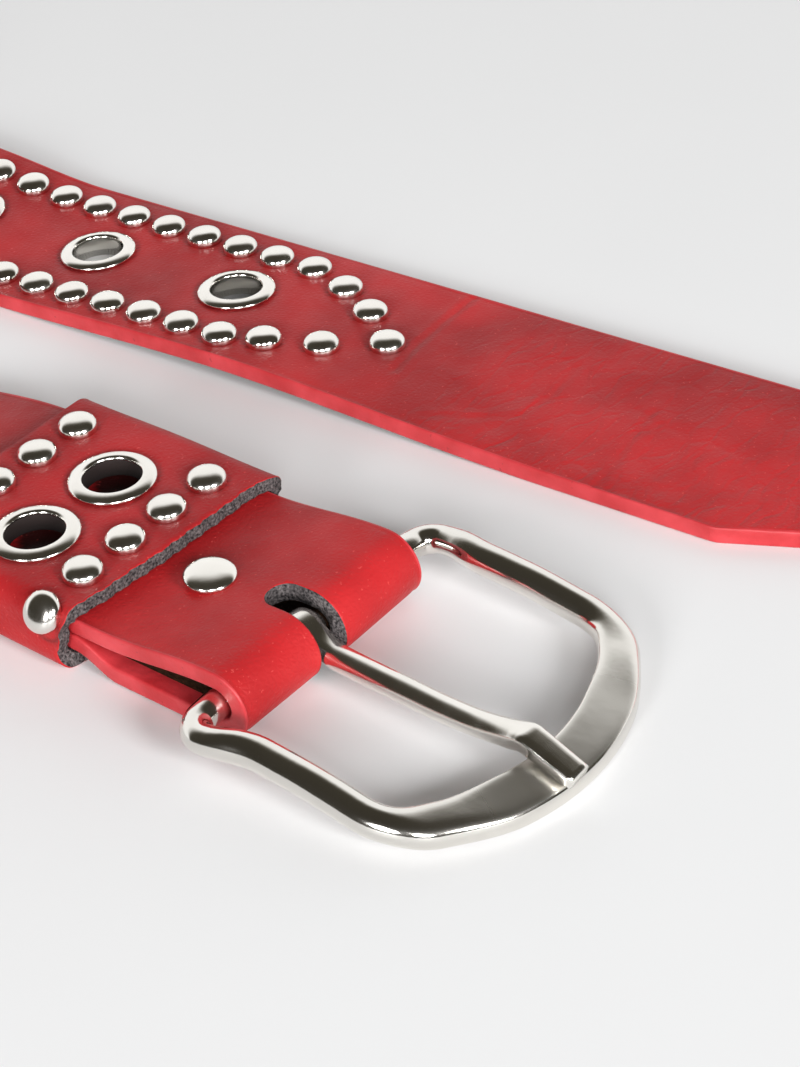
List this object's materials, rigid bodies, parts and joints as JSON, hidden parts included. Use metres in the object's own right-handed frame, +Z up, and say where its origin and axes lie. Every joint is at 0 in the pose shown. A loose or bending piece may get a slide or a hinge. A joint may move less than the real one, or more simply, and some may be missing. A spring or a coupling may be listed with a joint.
{
  "type": "studded belt",
  "caption": "Red leather belt with a prong buckle, a fixed keeper, rows of dome studs and large eyelets, laid down with both ends together.",
  "frame": {"origin": "middle of the belt's footprint, on the surface that it lies on", "axes": "+X along the belt towards the buckle and the pointed end, +Y from the buckle leg across to the studded leg, +Z up"},
  "size_m": [0.5318, 0.1198, 0.0386],
  "materials": {
    "red_leather": "semi-gloss red with fine grain, light creases, painted edges and a brown suede back",
    "keeper_leather": "semi-gloss red with raw dark-grey cut edges",
    "nickel": "polished nickel plate",
    "satin_nickel": "nickel plate, polished on the rods and satin on the bevelled front bar"
  },
  "bodies": {
    "belt": {"strap": "red_leather", "keeper": "keeper_leather", "rivet": "nickel", "strap_stud_far_1": "nickel", "strap_stud_far_2": "nickel", "strap_stud_far_3": "nickel", "strap_stud_far_4": "nickel", "strap_stud_far_5": "nickel", "strap_stud_far_6": "nickel", "strap_stud_far_7": "nickel", "strap_stud_far_8": "nickel", "strap_stud_far_9": "nickel", "strap_stud_far_10": "nickel", "strap_stud_far_11": "nickel", "strap_stud_far_12": "nickel", "strap_stud_far_13": "nickel", "strap_stud_far_14": "nickel", "strap_stud_near_1": "nickel", "strap_stud_near_2": "nickel", "strap_stud_near_3": "nickel", "strap_stud_near_4": "nickel", "strap_stud_near_5": "nickel", "strap_stud_near_6": "nickel", "strap_stud_near_7": "nickel", "strap_stud_near_8": "nickel", "strap_stud_near_9": "nickel", "strap_stud_near_10": "nickel", "strap_stud_near_11": "nickel", "strap_stud_near_12": "nickel", "strap_stud_near_13": "nickel", "strap_stud_near_14": "nickel", "strap_stud_front_far_1": "nickel", "strap_stud_back_far_1": "nickel", "strap_stud_front_far_2": "nickel", "strap_stud_back_far_2": "nickel", "strap_stud_front_apex": "nickel", "strap_stud_back_apex": "nickel", "strap_stud_front_near_2": "nickel", "strap_stud_back_near_2": "nickel", "strap_stud_front_near_1": "nickel", "strap_stud_back_near_1": "nickel", "strap_eyelet_1": "nickel", "strap_eyelet_2": "nickel", "strap_eyelet_3": "nickel", "strap_eyelet_4": "nickel", "keeper_stud_front_1": "nickel", "keeper_stud_front_2": "nickel", "keeper_stud_front_3": "nickel", "keeper_stud_front_4": "nickel", "keeper_stud_front_5": "nickel", "keeper_stud_back_1": "nickel", "keeper_stud_back_2": "nickel", "keeper_stud_back_3": "nickel", "keeper_stud_back_4": "nickel", "keeper_stud_back_5": "nickel", "keeper_eyelet_far": "nickel", "keeper_eyelet_near": "nickel"},
    "buckle_frame": {"buckle_frame": "satin_nickel"},
    "prong": {"prong": "nickel"}
  },
  "joints": [
    {"name": "frame_hinge", "type": "hinge", "parent": "belt", "child": "buckle_frame", "pos_m": [0.19198, -0.03042, 0.0056], "axis": [0, -1, 0], "range_deg": [0, 60]},
    {"name": "prong_hinge", "type": "hinge", "parent": "buckle_frame", "child": "prong", "pos_m": [0.19198, -0.03042, 0.0056], "axis": [0, -1, 0], "range_deg": [0, 45]}
  ]
}
